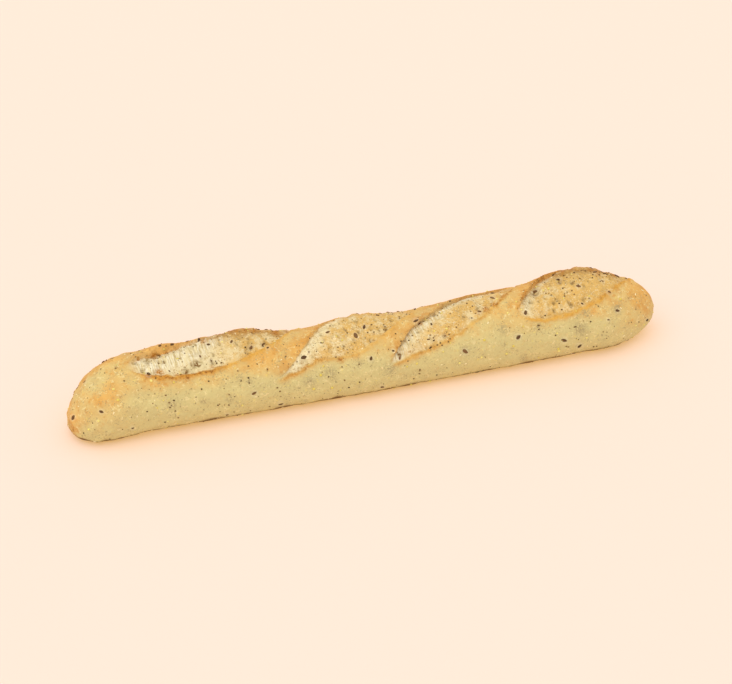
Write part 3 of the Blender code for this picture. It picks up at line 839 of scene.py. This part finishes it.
def seed_tree():
    """Instances of one seed on every point, each turned and sized by the point, made real."""
    name = "Lay seeds"
    if name in bpy.data.node_groups:
        return bpy.data.node_groups[name]
    tree = bpy.data.node_groups.new(name, "GeometryNodeTree")
    face = tree.interface
    face.new_socket("Geometry", in_out="INPUT", socket_type="NodeSocketGeometry")
    face.new_socket("Seed", in_out="INPUT", socket_type="NodeSocketObject")
    face.new_socket("Finish", in_out="INPUT", socket_type="NodeSocketMaterial")
    for label, value in (("Length", 0.0046), ("Width", 0.0024), ("Thickness", 0.0012),
                         ("Unevenness", 0.2)):
        face.new_socket(label, in_out="INPUT", socket_type="NodeSocketFloat").default_value = value
    face.new_socket("Shuffle", in_out="INPUT", socket_type="NodeSocketInt")
    face.new_socket("Geometry", in_out="OUTPUT", socket_type="NodeSocketGeometry")
    source = add(tree, "NodeGroupInput", (-900, 0)).outputs
    shape = add(tree, "GeometryNodeObjectInfo", (-600, -160), {"transform_space": "ORIGINAL"},
                Object=source["Seed"])
    turn = add(tree, "GeometryNodeInputNamedAttribute", (-600, -380),
               {"data_type": "FLOAT_VECTOR"}, Name="turn")
    own = add(tree, "GeometryNodeInputNamedAttribute", (-600, -560),
              {"data_type": "FLOAT"}, Name="own_size")
    size = add(tree, "ShaderNodeCombineXYZ", (-600, -740), X=source["Length"],
               Y=source["Width"], Z=source["Thickness"])
    low = calculate(tree, (-600, -900), "SUBTRACT", 1.0, source["Unevenness"])
    high = calculate(tree, (-600, -1060), "ADD", 1.0, source["Unevenness"])
    vary = add(tree, "FunctionNodeRandomValue", (-350, -900), {"data_type": "FLOAT_VECTOR"},
               Seed=source["Shuffle"])
    varied = add(tree, "ShaderNodeVectorMath", (-350, -700), {"operation": "MULTIPLY"})
    for socket, value in ((vary.inputs[0], low), (vary.inputs[1], high),
                          (varied.inputs[0], size.outputs[0]),
                          (varied.inputs[1], vary.outputs[0])):
        feed(tree, socket, value)
    scaled = add(tree, "ShaderNodeVectorMath", (-180, -600), {"operation": "SCALE"},
                 Vector=varied.outputs[0], Scale=own.outputs[0])
    lay = add(tree, "GeometryNodeInstanceOnPoints", (0, 0), Points=source["Geometry"],
              Instance=shape.outputs["Geometry"], Rotation=turn.outputs[0],
              Scale=scaled.outputs[0])
    shade = add(tree, "FunctionNodeRandomValue", (0, -300), {"data_type": "FLOAT"},
                Seed=source["Shuffle"])
    tint = add(tree, "GeometryNodeStoreNamedAttribute", (220, 0),
               {"data_type": "FLOAT", "domain": "INSTANCE"}, Name="tint",
               Geometry=lay.outputs[0], Value=shade.outputs[1])
    real = add(tree, "GeometryNodeRealizeInstances", (440, 0), Geometry=tint.outputs[0])
    finish = add(tree, "GeometryNodeSetMaterial", (640, 0), Geometry=real.outputs[0],
                 Material=source["Finish"])
    add(tree, "NodeGroupOutput", (840, 0), Geometry=finish.outputs[0])
    return tree


def socket_id(tree, name):
    return next(item.identifier for item in tree.interface.items_tree
                if item.name == name and item.in_out == "INPUT")


def on_skin(normal, turn):
    """Direction on the skin, turned from the loaf's own axis."""
    along = Vector((1.0, 0.0, 0.0))
    along = (along - normal * along.dot(normal)).normalized()
    return along * math.cos(turn) + normal.cross(along) * math.sin(turn)


def scatter_seeds(mesh, kind, shuffle):
    """Seeded places on the bread, apart by the kind's gap, thicker where the crumb is open."""
    rng = random.Random(shuffle)
    centre, normal = (values_of(mesh.polygons, name, 3) for name in ("center", "normal"))
    first = np.array([p.vertices[0] for p in mesh.polygons])
    crumb = values_of(mesh.attributes["crumb"].data, "value")[first]
    arc = values_of(mesh.attributes["skin_place"].data, "vector", 3)[first, 1]
    clusters = np.array([noise.noise(c) for c in (centre / CLUSTER_SIZE + shuffle).tolist()])
    wanted = values_of(mesh.polygons, "area") * (1 + (kind["crumb"] - 1) * crumb)
    wanted = wanted * np.clip(1 + CLUSTERING * clusters, THINNEST, THICKEST)
    in_front = (arc > FRONT_ARCS[0]) & (arc < FRONT_ARCS[1])
    wanted = wanted * np.where(in_front, kind["front"], 1.0)
    wanted = wanted * (centre[:, 2] > LOWEST_SEED)
    walked = np.cumsum(wanted)
    gap = kind["gap"] * MM
    taken, cells = [], {}
    while len(taken) < kind["count"]:
        face = int(np.searchsorted(walked, rng.random() * walked[-1]))
        place = Vector(centre[face])
        cell = tuple(int(c // gap) for c in place)
        near = [q for dx in (-1, 0, 1) for dy in (-1, 0, 1) for dz in (-1, 0, 1)
                for q in cells.get((cell[0] + dx, cell[1] + dy, cell[2] + dz), ())]
        if all((place - q).length > gap for q in near):
            cells.setdefault(cell, []).append(place)
            upright = Vector(normal[face])
            taken.append((place, upright, on_skin(upright, rng.uniform(0, math.tau)),
                          rng.triangular(*SIZE_SPREAD)))
    return taken


def chosen_seeds(mesh, kind, studio):
    """The seeds seen in the picture, found on the bread and turned as they are drawn there."""
    points, normals = (values_of(mesh.vertices, name, 3) for name in ("co", "normal"))
    across, down, scale = in_picture(points, normals, studio).T
    place, turned = camera_pose(studio)
    right, up = turned @ Vector((1, 0, 0)), turned @ Vector((0, 1, 0))
    found = []
    for (x, y), length, turn in seen(kind["seen"]):
        nearest = int(np.argmin(np.hypot(across - x, down - y)))
        vertex = mesh.vertices[nearest]
        ray, normal = (vertex.co - place).normalized(), vertex.normal.copy()
        drawn = right * math.cos(turn) + up * math.sin(turn)
        axis = drawn - ray * (normal.dot(drawn) / normal.dot(ray))
        stretch = min(axis.length, MOST_FORESHORTENED)
        real = min(max(length / scale[nearest] * stretch / MM, SHORTEST_FLAX), LONGEST_FLAX)
        found.append((vertex.co.copy(), normal, axis.normalized(),
                      kind["seen_size"] or real / kind["size"][0]))
    return found


def lay_seeds(name, places, kind, material, shuffle, sunk):
    """One mesh of every seed of a kind, instanced by Geometry Nodes and made real."""
    thickness = kind["size"][2] * MM
    points, turns, sizes = [], [], []
    for place, normal, axis, own in places:
        points.append(place + normal * thickness * own * (0.5 - sunk))
        turns.extend(Matrix((axis, normal.cross(axis), normal)).transposed().to_euler())
        sizes.append(own)
    cloud = bpy.data.meshes.new(name + "_points")
    cloud.from_pydata(points, [], [])
    cloud.attributes.new("turn", "FLOAT_VECTOR", "POINT").data.foreach_set("vector", turns)
    cloud.attributes.new("own_size", "FLOAT", "POINT").data.foreach_set("value", sizes)
    guide = bpy.data.objects.new(name + "_points", cloud)
    bpy.context.scene.collection.objects.link(guide)
    seed = seed_shape(name + "_shape", kind["segments"], kind["point"])
    tree = seed_tree()
    modifier = guide.modifiers.new("Lay seeds", "NODES")
    modifier.node_group = tree
    values = {"Seed": seed, "Finish": material, "Length": kind["size"][0] * MM,
              "Width": kind["size"][1] * MM, "Thickness": thickness,
              "Unevenness": UNEVENNESS, "Shuffle": shuffle}
    for label, value in values.items():
        modifier[socket_id(tree, label)] = value
    bpy.context.view_layer.update()
    evaluated = guide.evaluated_get(bpy.context.evaluated_depsgraph_get())
    mesh = bpy.data.meshes.new_from_object(evaluated)
    mesh.name = name
    piece = bpy.data.objects.new(name, mesh)
    bpy.context.scene.collection.objects.link(piece)
    for extra in (guide, seed):
        extra_mesh = extra.data
        bpy.data.objects.remove(extra)
        bpy.data.meshes.remove(extra_mesh)
    if not mesh.materials:
        mesh.materials.append(material)
    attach(piece, "root")
    return piece


# ================================ settings =================================================

def length_setting(name, description, default):
    return FloatProperty(name=name, description=description, default=default,
                         min=0.0, subtype="DISTANCE", unit="LENGTH")


def tint_setting(name, description, default):
    return FloatVectorProperty(name=name, description=description, default=default,
                               subtype="COLOR", size=3, min=0.0, max=1.0)


class BaguetteShape(bpy.types.PropertyGroup):
    rings: IntProperty(name="Rings", description="Rings of the bread mesh along the loaf",
                       default=600, min=40)
    around: IntProperty(name="Around", description="Vertices in each ring", default=160, min=24)
    crust_unevenness: length_setting("Crust unevenness", "Height of the crust's broad waves",
                                     0.0013)
    crumb_lumps: length_setting("Crumb lumps", "Height of the lumps in the open crumb", 0.0018)
    crumb_grain: length_setting("Crumb grain", "Height of the crumb's fine grain", 0.0004)


class BreadTints(bpy.types.PropertyGroup):
    flank: tint_setting("Flank", "Pale crust of the flanks", (0.63, 0.535, 0.24))
    golden: tint_setting("Golden", "Golden crust on top", (0.72, 0.41, 0.11))
    deep_golden: tint_setting("Deep golden", "Well baked patches of the crust",
                              (0.62, 0.29, 0.055))
    flour: tint_setting("Light flecks", "Pale flecks in the crust", (0.82, 0.68, 0.34))
    yellow: tint_setting("Yellow flecks", "Yellow flecks in the crust", (0.82, 0.66, 0.17))
    smudge: tint_setting("Smudges", "Seeds that show dimly through the crust",
                         (0.36, 0.28, 0.14))
    # Browned underside, and painted contact shade along the bottom of the flank.
    base: tint_setting("Base", "Browned underside", (0.16, 0.068, 0.012))
    crumb: tint_setting("Crumb", "Fresh torn crumb", (0.78, 0.66, 0.385))
    baked_crumb: tint_setting("Baked crumb", "Crumb that has taken colour", (0.67, 0.42, 0.125))
    crumb_shade: tint_setting("Crumb shade", "Low places in the crumb", (0.48, 0.35, 0.15))
    crumb_speck: tint_setting("Crumb specks", "Brown specks in the crumb", (0.40, 0.22, 0.07))
    # Painted shade in the crumb's pores.
    pit: tint_setting("Pits", "Deep pores in the crumb", (0.27, 0.18, 0.065))
    # Painted shade with brown flecks at the foot of a lip's wall; also the toasted far rims.
    foot_shade_and_toast: tint_setting("Crevice", "Dark foot of a lip's wall", (0.38, 0.195, 0.045))
    strand: tint_setting("Strands", "Raised threads of crumb", (0.86, 0.78, 0.57))
    rind: tint_setting("Rind", "Thin golden line along a score's front edge",
                       (0.70, 0.38, 0.06))
    wall: tint_setting("Lip wall", "Browned wall under a lifted lip", (0.95, 0.56, 0.17))
    toast: tint_setting("Toasted edge", "Toasted rim of a score", (0.47, 0.185, 0.02))
    # Charred specks on toasted rims, and the darkest painted shade at a pore's core.
    char: tint_setting("Charred specks", "Darkest specks of a toasted rim", (0.20, 0.075, 0.015))
    # Painted shade: the greyer, darker crumb under a lip.
    lip_shade_tint: tint_setting("Sheltered crumb", "Crumb in the lee of a lip", (0.55, 0.50, 0.31))


class SeedTints(bpy.types.PropertyGroup):
    flax_dark: tint_setting("Flax, dark", "Darkest flax seeds", (0.070, 0.033, 0.012))
    flax_light: tint_setting("Flax, light", "Lightest flax seeds", (0.20, 0.10, 0.036))
    poppy_dark: tint_setting("Poppy, dark", "Darkest small seeds", (0.060, 0.032, 0.014))
    poppy_light: tint_setting("Poppy, light", "Lightest small seeds", (0.30, 0.18, 0.07))
    millet_dark: tint_setting("Millet, deep", "Deepest millet grains", (0.70, 0.55, 0.10))
    millet_light: tint_setting("Millet, light", "Lightest millet grains", (0.86, 0.75, 0.25))
    sesame_dark: tint_setting("Sesame, deep", "Deepest sesame seeds", (0.72, 0.54, 0.24))
    sesame_light: tint_setting("Sesame, light", "Lightest sesame seeds", (0.93, 0.80, 0.48))
    sunk: FloatProperty(name="Sunk", description="Share of a seed's thickness below the crust",
                        default=0.35, min=0.0, max=0.9, subtype="FACTOR")


class StudioSettings(bpy.types.PropertyGroup):
    floor: tint_setting("Floor", "Colour of the plain floor", (0.43, 0.415, 0.550))
    # Painted light: the floor glows warm, though no lamp lies under it, so its shadows stay
    # shallow and orange.
    glow: tint_setting("Floor glow", "Light that the paper lets through from below",
                       (0.60, 0.345, 0.080))
    floor_size: length_setting("Floor size", "Side of the square floor", 9.0)
    key: FloatProperty(name="Overhead light", description="Strength of the soft light above",
                       default=1.05, min=0.0)
    fill: FloatProperty(name="Fill light", description="Strength of the light from all round",
                        default=0.94, min=0.0)
    azimuth: FloatProperty(name="Azimuth", description="Camera's angle round the loaf",
                           default=math.radians(-17.5), subtype="ANGLE", unit="ROTATION")
    elevation: FloatProperty(name="Elevation", description="Camera's height angle",
                             default=math.radians(35.0), subtype="ANGLE", unit="ROTATION")
    distance: length_setting("Distance", "Camera's distance from its target", 1.4)
    lens: FloatProperty(name="Lens", description="Focal length in millimetres", default=85.0,
                        min=10.0, subtype="DISTANCE_CAMERA", unit="CAMERA")


# ================================ operators ================================================

class BAGUETTE_OT_bread(bpy.types.Operator):
    """Build the loaf with its scores and torn crumb, in place of the solid"""
    bl_idname = "baguette.bread"
    bl_label = "Bread"

    def execute(self, context):
        shape = context.scene.baguette_shape
        points, places, masks = bread_points(shape, context.scene.studio_settings)
        mesh = bpy.data.meshes.new("bread")
        mesh.from_pydata(points.tolist(), [], ring_faces(shape.rings, shape.around))
        mesh.shade_smooth()
        up = values_of(mesh.vertices, "normal", 3)[:, 2]
        add_surface_masks(masks, points, places[:, 1], up)
        for name, values in masks.items():
            mesh.attributes.new(name, "FLOAT", "POINT").data.foreach_set("value", values)
        mesh.attributes.new("skin_place", "FLOAT_VECTOR", "POINT").data.foreach_set(
            "vector", places.ravel())
        mesh.materials.append(bread_material(context.scene.bread_tints))
        bread = bpy.data.objects.new("bread", mesh)
        context.scene.collection.objects.link(bread)
        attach(bread, "root")
        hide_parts(NODE)
        return {"FINISHED"}


class BAGUETTE_OT_seeds(bpy.types.Operator):
    """Lay the four kinds of seeds over the bread"""
    bl_idname = "baguette.seeds"
    bl_label = "Seeds"

    def execute(self, context):
        tints = context.scene.seed_tints
        mesh = bpy.data.objects["bread"].data
        for shuffle, (name, kind) in enumerate(SEED_KINDS.items(), FIRST_SHUFFLE):
            seed, roughness, specular = kind["finish"]
            material = seed_material(seed, getattr(tints, seed + "_dark"),
                                     getattr(tints, seed + "_light"), roughness, specular)
            places = chosen_seeds(mesh, kind, context.scene.studio_settings)
            places += scatter_seeds(mesh, kind, shuffle)
            lay_seeds(name, places, kind, material, shuffle, tints.sunk)
        return {"FINISHED"}


class BAGUETTE_OT_studio(bpy.types.Operator):
    """Set up the plain floor, the soft light and the camera"""
    bl_idname = "baguette.studio"
    bl_label = "Studio"

    def execute(self, context):
        scene, settings = context.scene, context.scene.studio_settings
        half = settings.floor_size / 2
        mesh = bpy.data.meshes.new("floor")
        mesh.from_pydata([(-half, -half, 0), (half, -half, 0), (half, half, 0), (-half, half, 0)],
                         [], [(0, 1, 2, 3)])
        mesh.materials.append(floor_material(settings.floor, settings.glow))
        floor = bpy.data.objects.new("floor", mesh)
        scene.collection.objects.link(floor)

        world = bpy.data.worlds.new("studio")
        world.use_nodes = True
        sky = world.node_tree.nodes["Background"]
        set_inputs(world.node_tree, sky, Color=SKY_TINT, Strength=settings.fill)
        scene.world = world
        lamp = bpy.data.lights.new("overhead", "SUN")
        lamp.energy = settings.key
        lamp.angle = LAMP_SPREAD
        lamp.color = LAMP_TINT
        light = bpy.data.objects.new("overhead", lamp)
        light.location = LAMP_PLACE
        light.rotation_euler = (-light.location).to_track_quat("-Z", "Y").to_euler()
        scene.collection.objects.link(light)

        lens = bpy.data.cameras.new("camera")
        lens.lens, lens.sensor_width = settings.lens, SENSOR_WIDTH
        camera = bpy.data.objects.new("camera", lens)
        camera.location, turn = camera_pose(settings)
        camera.rotation_euler = turn.to_euler()
        scene.collection.objects.link(camera)
        scene.camera = camera
        scene.view_settings.view_transform = "Standard"
        return {"FINISHED"}


class BAGUETTE_PT_looks(bpy.types.Panel):
    """Sizes, colours and the steps that build the baguette"""
    bl_idname = "BAGUETTE_PT_looks"
    bl_label = "Baguette"
    bl_space_type = "VIEW_3D"
    bl_region_type = "UI"
    bl_category = "Baguette"

    def draw(self, context):
        scene = context.scene
        groups = (("Bread", scene.baguette_shape, "baguette.bread"),
                  ("Bread colours", scene.bread_tints, None),
                  ("Seeds", scene.seed_tints, "baguette.seeds"),
                  ("Studio", scene.studio_settings, "baguette.studio"))
        for title, group, operator in groups:
            box = self.layout.box()
            box.label(text=title)
            for key in group.bl_rna.properties.keys():
                if key not in ("rna_type", "name"):
                    box.prop(group, key)
            if operator:
                box.operator(operator)


CLASSES = (BaguetteShape, BreadTints, SeedTints, StudioSettings, BAGUETTE_OT_bread,
           BAGUETTE_OT_seeds, BAGUETTE_OT_studio, BAGUETTE_PT_looks)
SETTINGS = {"baguette_shape": BaguetteShape, "bread_tints": BreadTints,
            "seed_tints": SeedTints, "studio_settings": StudioSettings}


def register():
    for cls in CLASSES:
        bpy.utils.register_class(cls)
    for name, group in SETTINGS.items():
        setattr(bpy.types.Scene, name, PointerProperty(type=group))


def unregister():
    for name in SETTINGS:
        delattr(bpy.types.Scene, name)
    for cls in reversed(CLASSES):
        bpy.utils.unregister_class(cls)


def main():
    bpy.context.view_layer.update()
    register()
    bpy.ops.baguette.bread()
    bpy.ops.baguette.seeds()
    bpy.ops.baguette.studio()


if __name__ == "__main__":
    main()
